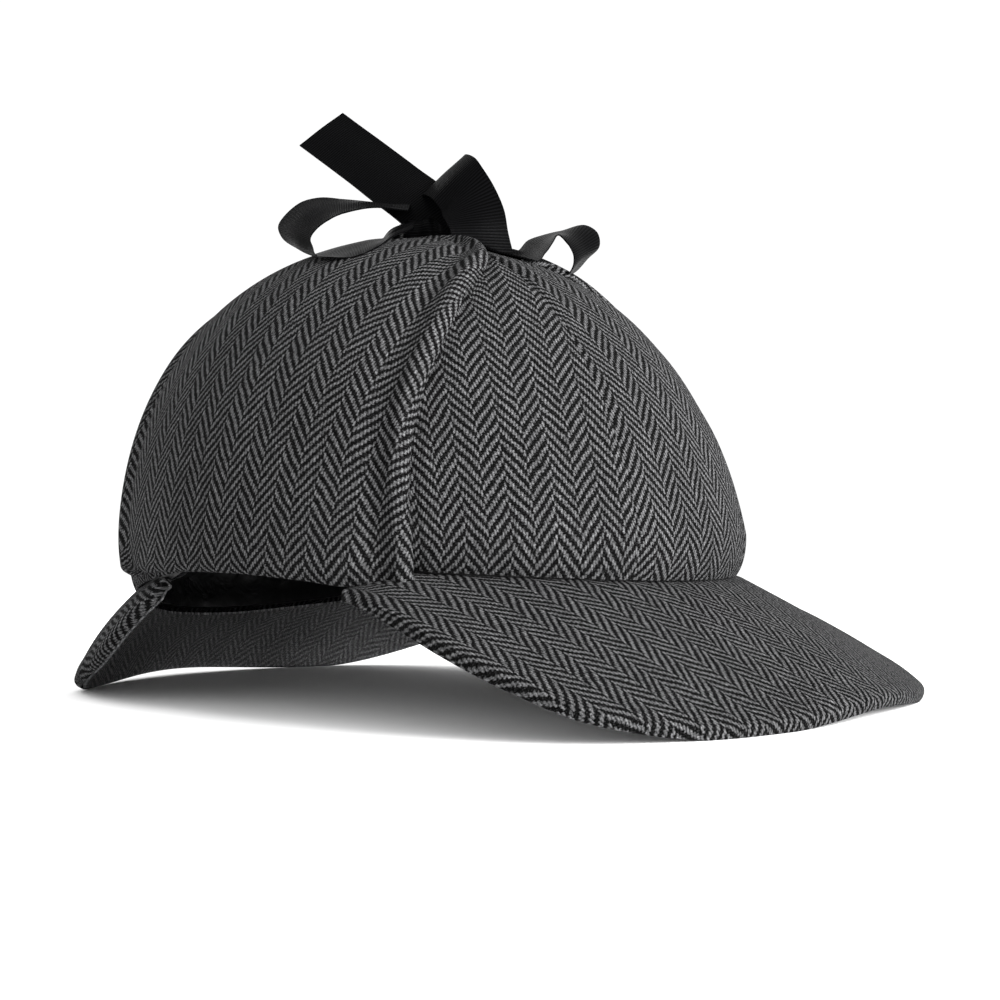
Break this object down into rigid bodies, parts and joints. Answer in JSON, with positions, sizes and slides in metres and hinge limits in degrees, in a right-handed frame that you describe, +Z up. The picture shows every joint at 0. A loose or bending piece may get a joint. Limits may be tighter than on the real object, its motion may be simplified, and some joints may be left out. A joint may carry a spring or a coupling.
{
  "type": "deerstalker hat",
  "caption": "Deerstalker hat of herringbone tweed: a rounded crown, a peak at front and rear, and ear flaps folded up and tied over the crown with a black ribbon bow.",
  "frame": {"origin": "middle of the bounding box in plan, at the height of the surface on which the hat rests", "axes": "+Z up, -Y the way the front peak points, -X the wearer's right"},
  "size_m": [0.1978, 0.2936, 0.2048],
  "materials": {
    "tweed": "black and grey herringbone wool tweed",
    "satin": "black satin",
    "ribbon": "black grosgrain ribbon"
  },
  "bodies": {
    "root": {"crown_gore_front": "tweed", "crown_gore_front_left": "tweed", "crown_gore_side_left": "tweed", "crown_gore_rear_left": "tweed", "crown_gore_rear": "tweed", "crown_gore_rear_right": "tweed", "crown_gore_side_right": "tweed", "crown_gore_front_right": "tweed", "front_peak_top": "tweed", "front_peak_underside": "tweed", "rear_peak_top": "tweed", "rear_peak_underside": "tweed", "ear_flap_right": "tweed", "ear_flap_left": "tweed", "lining": "satin", "sweatband": "satin", "ribbon_knot": "ribbon", "ribbon_loop_rear": "ribbon", "ribbon_loop_front": "ribbon", "ribbon_loop_upright": "ribbon", "ribbon_tail": "ribbon"}
  },
  "joints": []
}
